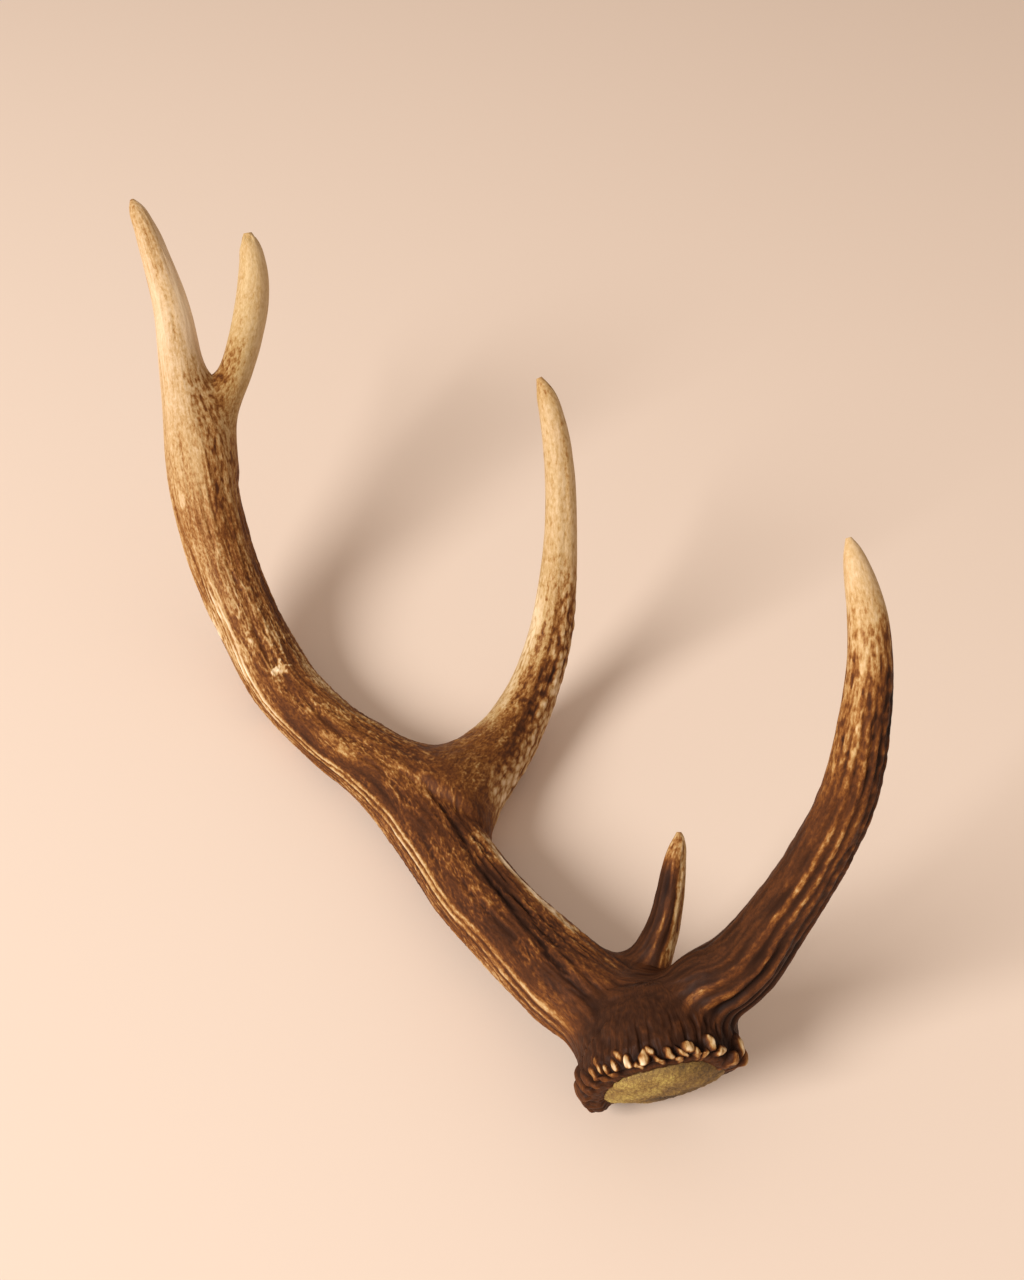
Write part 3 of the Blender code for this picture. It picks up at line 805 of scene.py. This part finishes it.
def dressed(points, outward, own, held):
    """Points on the blended form with relief, and their tone, green and gloss.

    Points move out along their own directions to the form, apart from the share held of each
    that stays where it is, and a limb's points stay CLEAR of the ring.  Each limb's pattern
    counts by e to the minus its depth over MIXING.  Where another limb has the larger share of
    the form the point is sunk a little, so only one of two pieces shows.
    """
    moved = np.zeros(len(points))
    reach = np.full(len(points), REACH)
    if own is not BURR:
        sinking = np.maximum(-(outward @ BURR_AXIS), 0.05)
        reach = np.clip(((points - BURR_CENTRE) @ BURR_AXIS - CLEAR) / sinking, INWARD, REACH)
    for _ in range(SETTLING):
        depth, _, _ = blended(points + outward * moved[:, None])
        moved = np.clip(moved - SHARE * depth, INWARD, reach)
    points = points + outward * (moved * (1.0 - held))[:, None]
    _, shares, found = blended(points)
    weights = np.exp(-np.maximum(np.stack([place[2] for place in found]), -MIXING) / MIXING)
    weights /= weights.sum(axis=0)
    relief = np.zeros(len(points))
    looks = np.zeros((3, len(points)))
    direction = np.zeros((len(points), 3))
    for limb, weight, place in zip(FORM, weights, found):
        share = weight * (1.0 - held) + held * (limb is own)
        near = share > LEAST_SHARE
        if not near.any():
            continue
        direction[near] += share[near, None] * place[3][near]
        pattern = PATTERNS[limb.name](place[0][near], place[1][near])
        relief[near] += share[near] * pattern[0]
        for row in range(3):
            looks[row, near] += share[near] * pattern[1 + row]
    direction = unit(direction * (1.0 - held)[:, None] + outward * held[:, None])
    hidden = smooth(0.5, 0.15, shares[FORM.index(own)]) * (1.0 - held)
    return points + direction * (relief - SINK * hidden)[:, None], looks


def placed(points):
    """Millimetres from the burr's centre to metres in the part's frame, worn flat at the foot."""
    world = (points + BURR_AT - np.array([0.0, 0.0, WORN])) * MM
    world[..., 2] = np.maximum(world[..., 2], 0.0)
    return world


# ---- mesh


def grid_mesh(name, rings, looks, grain):
    """Skin rings with quads, close both ends on a pole, and keep the looks and the grain.

    rings is rows by columns by 3.  Vertex row * columns + column; the poles come last.  looks
    are the tone, green and gloss of each vertex, and grain is its place on the unrolled limb.
    """
    rows, columns = rings.shape[:2]
    poles = np.stack([rings[0].mean(axis=0), rings[-1].mean(axis=0)])
    points = np.concatenate([rings.reshape(-1, 3), poles])
    lower = np.arange((rows - 1) * columns).reshape(rows - 1, columns)
    right = np.roll(lower, -1, axis=1)
    quads = np.stack([lower, right, right + columns, lower + columns], axis=-1).reshape(-1, 4)
    first = np.arange(columns)
    last = first + (rows - 1) * columns
    start = np.stack([np.roll(first, -1), first, np.full(columns, rows * columns)], axis=-1)
    end = np.stack([last, np.roll(last, -1), np.full(columns, rows * columns + 1)], axis=-1)
    loops = np.concatenate([quads.ravel(), start.ravel(), end.ravel()])
    sizes = np.concatenate([np.full(len(quads), 4), np.full(2 * columns, 3)])
    mesh = bpy.data.meshes.new(name)
    mesh.vertices.add(len(points))
    mesh.vertices.foreach_set("co", points.ravel())
    mesh.loops.add(len(loops))
    mesh.loops.foreach_set("vertex_index", loops)
    mesh.polygons.add(len(sizes))
    mesh.polygons.foreach_set("loop_start", np.concatenate([[0], np.cumsum(sizes)[:-1]]))
    mesh.polygons.foreach_set("loop_total", sizes)
    mesh.polygons.foreach_set("use_smooth", np.ones(len(sizes), dtype=bool))
    mesh.update(calc_edges=True)
    for key, table in zip(("tone", "green", "gloss", "grain"), (*looks, grain)):
        flat = table.reshape(rows, columns, -1)
        ends = flat[[0, -1]].mean(axis=1)
        values = np.concatenate([flat.reshape(rows * columns, -1), ends]).astype(np.float32)
        kind, field = ("FLOAT", "value") if values.shape[1] == 1 else ("FLOAT_VECTOR", "vector")
        mesh.attributes.new(key, kind, "POINT").data.foreach_set(field, values.ravel())
    mesh.validate()
    piece = bpy.data.objects.new(name, mesh)
    bpy.context.scene.collection.objects.link(piece)
    return piece


def limb_piece(name, limb, start, end, row_step, columns, fork=None):
    """One limb between two lengths as a grid of rings on the blended form.

    The rings are row_step apart, and closer at a tip, which they round off.  Where the limb is
    parted at a fork, the piece runs on a little past that length and sinks as it goes.
    """
    s = np.linspace(start, end, int(round((end - start) / row_step)) + 1)
    if end == limb.length:
        tip = limb.value(limb.radii, limb.length)
        rounded = limb.length - tip * (1.0 - np.linspace(0.0, 1.0, TIP_RINGS) ** 0.5)
        s = np.concatenate([s[s < limb.length - tip], rounded])
    angle = np.linspace(0.0, FULL_TURN, columns, endpoint=False)
    rows = len(s)
    s_all, angle_all = np.repeat(s, columns), np.tile(angle, rows)
    centres = limb.value(limb.centres, s_all)
    outward = limb.outward(s_all, angle_all)
    points = centres + outward * limb.girth(s_all, angle_all)[:, None]
    points, looks = dressed(points, outward, limb, np.zeros(len(points)))
    if fork is not None:
        past = s_all - fork if fork > 0.5 * (start + end) else fork - s_all
        points = points - outward * (SINK * smooth(0.0, OVERLAP, past))[:, None]
    grain = np.stack(cylinder(limb, s_all, angle_all), axis=-1)
    return grid_mesh(name, placed(points.reshape(rows, columns, 3)), looks, grain)


def burr_spokes(angle, share):
    """For each angle the direction from the burr's axis to its ring, times a share."""
    spokes = np.cos(angle)[:, None] * BURR_ACROSS + np.sin(angle)[:, None] * BURR_DOWN
    return spokes * share[:, None]


def ring_points(axial, radius, spokes):
    """Distances along the burr's axis and out from it along the spokes, as rings of points."""
    return axial[:, :, None] * BURR_AXIS + radius[:, None, None] * spokes[None, :, :]


def burr_piece(name, columns, rows):
    """The burr and the neck above it: a profile carried round the axis, with pearls and flutes.

    The neck lies on the blended form; the ring and its underside keep the profile, apart from
    the underside's rise at the front and the bell-shaped lump at the left.
    """
    v = np.linspace(0.0, BURR.length, rows)
    angle = np.linspace(0.0, -FULL_TURN, columns, endpoint=False)
    axial, radius = BURR.profile(v)
    slope_a, slope_r = np.gradient(axial, v), np.gradient(radius, v)
    bend = np.hypot(slope_a, slope_r)
    out_a, out_r = slope_r / bend, -slope_a / bend
    spokes = burr_spokes(angle, burr_reach(angle))
    turn = np.degrees(angle)
    below = smooth(0.0, -4.5, axial)
    front = between(turn, -186.0, -132.0, -72.0, -40.0)
    lump = hump(turn, *LUMP) * (smooth(17.5, 22.0, radius) * below)[:, None]
    moved = axial[:, None] + FRONT_RISE * below[:, None] * front - LEFT_DROP * lump
    points = BURR_CENTRE + ring_points(moved, radius, spokes)
    outward = ring_points(np.repeat(out_a[:, None], columns, axis=1), out_r, spokes)
    v_all, angle_all = np.repeat(v, columns), np.tile(angle, rows)
    held = smooth(3.0, -1.0, np.repeat(axial, columns))
    points, looks = burr_dressed(
        points.reshape(-1, 3), outward.reshape(-1, 3), held, v_all, angle_all
    )
    grain = np.stack([v_all, RING * np.cos(angle_all), RING * np.sin(angle_all)], axis=-1)
    return grid_mesh(name, placed(points.reshape(rows, columns, 3)), looks, grain)


def burr_dressed(points, outward, held, v, angle):
    """The burr's own points: those held take its own pattern, the rest the blended one."""
    points_blended, looks = dressed(points, outward, BURR, held * 0.0)
    relief, *own_looks = burr_pattern(v, angle)
    own_points = points + outward * relief[:, None]
    keep = held[:, None]
    return own_points * keep + points_blended * (1.0 - keep), [
        own * held + other * (1.0 - held) for own, other in zip(own_looks, looks)
    ]


def seal_piece(name, columns, rows):
    """The convex seal: a dome carried round the burr's axis, covered with fine grains, a little
    narrower at its lower right, with painted shade across the middle and painted light at its left
    end."""
    table = np.array(SEAL_PROFILE)
    knots = lengths(table)
    v = np.linspace(0.3, knots[-1], rows)[::-1]
    axial, radius = np.interp(v, knots, table[:, 0]), np.interp(v, knots, table[:, 1])
    angle = np.linspace(0.0, -FULL_TURN, columns, endpoint=False)
    spokes = burr_spokes(angle, burr_reach(angle) * (1.0 - 0.08 * hump(angle, -5.85, 0.42)))
    x, y = radius[:, None] * np.cos(angle), radius[:, None] * np.sin(angle)
    z = axial[:, None] + np.zeros_like(x)
    face = (x, y, z)
    gap, own = cell_noise(x / 1.1, y / 1.1, z / 1.1, 71)
    broad = streaks(face, 7.0, 7.0, 72)
    grains = 0.32 * np.clip(1.0 - gap**2, 0.0, 1.0) * (0.4 + own)
    relief = grains + 0.35 * broad + 0.1 * streaks(face, 1.0, 1.0, 73)
    points = BURR_CENTRE + ring_points(axial[:, None] - relief, radius, spokes)
    # Painted shade: a darker band across the middle of the dome; painted light: the left end made
    # lighter, as lit from the left.
    shade = hump(y - 0.15 * x, 2.0, 5.5) * smooth(-15.0, 4.0, x)
    tone = 0.315 + 0.24 * (0.6 - gap) + 0.13 * broad - 0.20 * shade + 0.15 * hump(x, -13.0, 9.0)
    looks = (tone, 0.5 + 0.5 * broad, np.full(x.shape, 0.2))
    return grid_mesh(name, placed(points), looks, np.stack(face, axis=-1))


# ---- materials


def srgb(red, green, blue):
    """A colour from its 0 to 255 display values, as linear light."""
    share = np.array([red, green, blue]) / 255.0
    linear = np.where(share <= 0.04045, share / 12.92, ((share + 0.055) / 1.055) ** 2.4)
    return (*linear.tolist(), 1.0)


TONES = [
    (0.00, srgb(30, 15, 9)),
    (0.14, srgb(57, 32, 19)),
    (0.28, srgb(88, 49, 25)),
    (0.40, srgb(119, 71, 32)),
    (0.52, srgb(152, 105, 57)),
    (0.66, srgb(185, 149, 101)),
    (0.82, srgb(210, 180, 143)),
    (1.00, srgb(240, 216, 182)),
]
SEAL_DARK, SEAL_MIDDLE = srgb(60, 40, 18), srgb(133, 101, 45)
# The fibres' scale along and across the limb, the height of the finest bumps, and how much gloss
# changes the roughness to either side.
FIBRE_STRETCH = (0.40, 1.0, 1.0)
BUMP_HEIGHT = 0.0004
GLOSS_RANGE = 0.12


def new_material(name):
    """A material with its node tree and its Principled shader."""
    material = bpy.data.materials.new(name)
    material.use_nodes = True
    return material, material.node_tree, material.node_tree.nodes["Principled BSDF"]


def attribute(tree, name, output="Fac"):
    """A vertex attribute as an output to link."""
    made = tree.nodes.new("ShaderNodeAttribute")
    made.attribute_name = name
    return made.outputs[output]


def calc(tree, operation, *terms):
    """A Math node on outputs and plain numbers."""
    made = tree.nodes.new("ShaderNodeMath")
    made.operation = operation
    for slot, term in zip(made.inputs, terms):
        if isinstance(term, float):
            slot.default_value = term
        else:
            tree.links.new(term, slot)
    return made.outputs[0]


def speckle(tree, vector, scale, detail, roughness):
    """A Noise Texture on a vector in millimetres; scale is in cells a millimetre."""
    made = tree.nodes.new("ShaderNodeTexNoise")
    for key, value in (("Scale", scale), ("Detail", detail), ("Roughness", roughness)):
        made.inputs[key].default_value = value
    tree.links.new(vector, made.inputs["Vector"])
    return made.outputs["Fac"]


def ramp(tree, share, stops):
    """A colour ramp through stops of a position and a colour each."""
    made = tree.nodes.new("ShaderNodeValToRGB")
    elements = made.color_ramp.elements
    for position, colour in stops[1:-1]:
        elements.new(position).color = colour
    for element, (position, colour) in ((elements[0], stops[0]), (elements[-1], stops[-1])):
        element.position = position
        element.color = colour
    tree.links.new(share, made.inputs["Fac"])
    return made.outputs["Color"]


def roughen(tree, height, strength, shader):
    """Fine bumps on the shader from a height."""
    made = tree.nodes.new("ShaderNodeBump")
    made.inputs["Strength"].default_value = strength
    made.inputs["Distance"].default_value = BUMP_HEIGHT
    tree.links.new(height, made.inputs["Height"])
    tree.links.new(made.outputs["Normal"], shader.inputs["Normal"])


def antler_material(name, looks):
    """Bone: tone through a brown to ivory ramp, with fine fibres drawn out along the limb.

    The fibres add (noise - 0.5) * contrast * (4 tone (1 - tone))^2: most on the middle tones.
    """
    material, tree, shader = new_material(name)
    tone = attribute(tree, "tone")
    grain = attribute(tree, "grain", "Vector")
    stretch = tree.nodes.new("ShaderNodeMapping")
    stretch.inputs["Scale"].default_value = FIBRE_STRETCH
    tree.links.new(grain, stretch.inputs["Vector"])
    fibres = speckle(tree, stretch.outputs["Vector"], 1.25, 4.0, 0.68)
    pores = speckle(tree, grain, 2.6, 2.0, 0.5)

    middle = calc(tree, "MULTIPLY", tone, calc(tree, "SUBTRACT", 1.0, tone))
    bell = calc(tree, "MULTIPLY", middle, middle)
    contrast = calc(tree, "MULTIPLY", bell, 16.0 * looks.fibre_contrast)
    swing = calc(tree, "SUBTRACT", fibres, 0.5)
    colour = ramp(tree, calc(tree, "MULTIPLY_ADD", swing, contrast, tone), TONES)
    tint = tree.nodes.new("ShaderNodeMix")
    tint.data_type = "RGBA"
    tint.blend_type = "MULTIPLY"
    tint.inputs["B"].default_value = (*looks.green_tint, 1.0)
    tree.links.new(attribute(tree, "green"), tint.inputs["Factor"])
    tree.links.new(colour, tint.inputs["A"])
    tree.links.new(tint.outputs["Result"], shader.inputs["Base Color"])

    rough = tree.nodes.new("ShaderNodeMapRange")
    rough.inputs["To Min"].default_value = looks.roughness + GLOSS_RANGE
    rough.inputs["To Max"].default_value = looks.roughness - GLOSS_RANGE
    tree.links.new(attribute(tree, "gloss"), rough.inputs["Value"])
    tree.links.new(rough.outputs["Result"], shader.inputs["Roughness"])
    roughen(tree, calc(tree, "MULTIPLY_ADD", pores, 0.5, fibres), 0.35, shader)
    shader.inputs["Specular IOR Level"].default_value = 0.07
    return material


def seal_material(name, looks):
    """The seal's granular face: olive yellow grains over brown."""
    material, tree, shader = new_material(name)
    speck = speckle(tree, attribute(tree, "grain", "Vector"), 2.6, 3.0, 0.65)
    share = calc(tree, "MULTIPLY_ADD", speck, 0.6, attribute(tree, "tone"))
    stops = [(0.45, SEAL_DARK), (0.70, SEAL_MIDDLE), (1.0, (*looks.seal_colour, 1.0))]
    tree.links.new(ramp(tree, share, stops), shader.inputs["Base Color"])
    shader.inputs["Roughness"].default_value = 0.75
    roughen(tree, speck, 0.5, shader)
    return material


def floor_material(name, looks):
    """Plain pale matt floor."""
    material, _, shader = new_material(name)
    shader.inputs["Base Color"].default_value = (*looks.floor_colour, 1.0)
    shader.inputs["Roughness"].default_value = 0.9
    shader.inputs["Specular IOR Level"].default_value = 0.1
    return material


# ---- add-on


class AntlerLooks(bpy.types.PropertyGroup):
    """What a user would change about the antler."""

    roughness: FloatProperty(
        name="Roughness", description="Mean roughness of the bone", default=0.49, min=0.0, max=1.0
    )
    fibre_contrast: FloatProperty(
        name="Fibre contrast", description="How strongly fine fibres change the tone", default=0.80
    )
    green_tint: FloatVectorProperty(
        name="Olive tint",
        description="Colour that the olive parts are multiplied by",
        subtype="COLOR",
        default=(0.94, 0.95, 0.80),
    )
    seal_colour: FloatVectorProperty(
        name="Seal colour",
        description="Colour of the seal's grains",
        subtype="COLOR",
        default=srgb(203, 180, 95)[:3],
    )


class StageLooks(bpy.types.PropertyGroup):
    """The floor, the lights and the camera."""

    floor_colour: FloatVectorProperty(
        name="Floor colour",
        description="Colour of the floor",
        subtype="COLOR",
        default=(0.82, 0.66, 0.54),
    )
    lamp_power: FloatProperty(
        name="Lamp power", description="Power of the soft lamp in watts", default=99.5, min=0.0
    )
    lamp_width: FloatProperty(
        name="Lamp width", description="Width of the soft lamp", default=1.34, unit="LENGTH"
    )
    sky: FloatProperty(
        name="Sky", description="Strength of the light from all round", default=0.53, min=0.0
    )
    lens: FloatProperty(
        name="Lens", description="Focal length of the camera in millimetres", default=41.99
    )


def finish_piece(piece, material, slot, *nodes):
    """Give a piece its material and its body, and hide the imported parts it stands for; slot is not
    used.
    """
    piece.data.materials.append(material)
    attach(piece, "root")
    if nodes:
        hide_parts(*nodes)


def bone():
    """The antler's one bone material, made when first asked for."""
    found = bpy.data.materials.get("antler_bone")
    return found or antler_material("antler_bone", bpy.context.scene.antler_looks)


class ANTLER_OT_beam(bpy.types.Operator):
    """Build the ridged beam from the burr to the crown's fork"""

    bl_idname = "antler.beam"
    bl_label = "Beam"

    def execute(self, context):
        piece = limb_piece(
            "antler_beam", BEAM, 15.0, CROWN_FORK + OVERLAP, row_step=1.1, columns=270, fork=CROWN_FORK
        )
        finish_piece(piece, bone(), "dark_ridged_bone", "beam")
        return {"FINISHED"}


class ANTLER_OT_burr(bpy.types.Operator):
    """Build the burr's ring of pearls and the convex seal inside it"""

    bl_idname = "antler.burr"
    bl_label = "Burr and seal"

    def execute(self, context):
        piece = burr_piece("antler_burr", columns=620, rows=130)
        finish_piece(piece, bone(), "dark_ridged_bone")
        seal = seal_piece("antler_seal", columns=300, rows=90)
        looks = context.scene.antler_looks
        finish_piece(seal, seal_material("antler_seal_face", looks), "dark_ridged_bone")
        return {"FINISHED"}


class ANTLER_OT_lower_tines(bpy.types.Operator):
    """Build the brow, bez and trez tines"""

    bl_idname = "antler.lower_tines"
    bl_label = "Brow, bez and trez tines"

    def execute(self, context):
        brow = limb_piece(
            "antler_brow_tine", BROW, 13.0, BROW.length, row_step=0.8, columns=200
        )
        finish_piece(brow, bone(), "brow_bone", "brow_tine")
        bez = limb_piece("antler_bez_tine", BEZ, 0.0, BEZ.length, row_step=0.6, columns=120)
        finish_piece(bez, bone(), "bez_bone", "bez_tine")
        trez = limb_piece("antler_trez_tine", TREZ, 0.0, TREZ.length, row_step=0.8, columns=200)
        finish_piece(trez, bone(), "trez_bone", "trez_tine")
        return {"FINISHED"}


class ANTLER_OT_crown(bpy.types.Operator):
    """Build the crown's outer and inner tines"""

    bl_idname = "antler.crown"
    bl_label = "Crown tines"

    def execute(self, context):
        outer = limb_piece(
            "antler_crown_outer_tine",
            BEAM,
            CROWN_FORK - OVERLAP,
            BEAM.length,
            row_step=0.7,
            columns=270,
            fork=CROWN_FORK,
        )
        finish_piece(outer, bone(), "cream_bone", "crown_outer_tine")
        inner = limb_piece(
            "antler_crown_inner_tine", INNER, 12.0, INNER.length, row_step=0.8, columns=180
        )
        finish_piece(inner, bone(), "golden_bone", "crown_inner_tine")
        return {"FINISHED"}


# Places in metres in the part's frame, directions, and the sensor's width in millimetres.
CAMERA_AT = (0.03810, -0.44420, 0.44524)
CAMERA_RIGHT = Vector((0.9984, 0.0370, 0.0429))
CAMERA_UP = Vector((-0.0566, 0.6515, 0.7566))
SENSOR_WIDTH = 36.0
LAMP_AT = Vector((-1.800, -1.680, 1.660))
LAMP_COLOUR = (1.0, 1.0, 0.99)
SKY_COLOUR = (1.0, 0.85, 0.74, 1.0)
FLOOR_REACH = 4.0
FLOOR_CORNERS = ((-1, -1), (1, -1), (1, 1), (-1, 1))


class ANTLER_OT_stage(bpy.types.Operator):
    """Build the floor, the soft lamp, the sky and the camera"""

    bl_idname = "antler.stage"
    bl_label = "Stage"

    def execute(self, context):
        looks = context.scene.stage_looks
        floor_mesh = bpy.data.meshes.new("floor")
        corners = [(x * FLOOR_REACH, y * FLOOR_REACH, 0) for x, y in FLOOR_CORNERS]
        floor_mesh.from_pydata(corners, [], [(0, 1, 2, 3)])
        floor = bpy.data.objects.new("floor", floor_mesh)
        floor.data.materials.append(floor_material("floor_matt", looks))
        context.scene.collection.objects.link(floor)

        lamp_data = bpy.data.lights.new("soft_lamp", "AREA")
        lamp_data.shape = "DISK"
        lamp_data.size = looks.lamp_width
        lamp_data.energy = looks.lamp_power
        lamp_data.color = LAMP_COLOUR
        lamp = bpy.data.objects.new("soft_lamp", lamp_data)
        lamp.location = LAMP_AT
        lamp.rotation_euler = (-LAMP_AT).to_track_quat("-Z", "Y").to_euler()
        context.scene.collection.objects.link(lamp)

        world = bpy.data.worlds.new("soft_sky")
        context.scene.world = world
        world.use_nodes = True
        background = world.node_tree.nodes["Background"]
        background.inputs["Color"].default_value = SKY_COLOUR
        background.inputs["Strength"].default_value = looks.sky

        camera_data = bpy.data.cameras.new("camera")
        camera_data.sensor_width = SENSOR_WIDTH
        camera_data.lens = looks.lens
        camera = bpy.data.objects.new("camera", camera_data)
        right = CAMERA_RIGHT.normalized()
        back = right.cross(CAMERA_UP).normalized()
        up = back.cross(right)
        turn = Matrix((right, up, back)).transposed()
        camera.matrix_world = Matrix.Translation(CAMERA_AT) @ turn.to_4x4()
        context.scene.collection.objects.link(camera)
        context.scene.camera = camera
        context.scene.view_settings.view_transform = "Standard"
        return {"FINISHED"}


class ANTLER_PT_panel(bpy.types.Panel):
    """The antler's settings and its operators, in the sidebar"""

    bl_idname = "ANTLER_PT_panel"
    bl_label = "Deer antler"
    bl_space_type = "VIEW_3D"
    bl_region_type = "UI"
    bl_category = "Antler"

    def draw(self, context):
        for group in (context.scene.antler_looks, context.scene.stage_looks):
            for key in group.__annotations__:
                self.layout.prop(group, key)
        for kind in OPERATORS:
            self.layout.operator(kind.bl_idname)


OPERATORS = (
    ANTLER_OT_beam,
    ANTLER_OT_burr,
    ANTLER_OT_lower_tines,
    ANTLER_OT_crown,
    ANTLER_OT_stage,
)
CLASSES = (AntlerLooks, StageLooks, *OPERATORS, ANTLER_PT_panel)


def register():
    """Register the classes and hang the settings on the scene."""
    for kind in CLASSES:
        bpy.utils.register_class(kind)
    bpy.types.Scene.antler_looks = PointerProperty(type=AntlerLooks)
    bpy.types.Scene.stage_looks = PointerProperty(type=StageLooks)


def unregister():
    """Take the settings and the classes away again."""
    del bpy.types.Scene.stage_looks
    del bpy.types.Scene.antler_looks
    for kind in reversed(CLASSES):
        bpy.utils.unregister_class(kind)


def main():
    """Build every piece and the stage."""
    register()
    bpy.ops.antler.beam()
    bpy.ops.antler.burr()
    bpy.ops.antler.lower_tines()
    bpy.ops.antler.crown()
    bpy.ops.antler.stage()


if __name__ == "__main__":
    main()
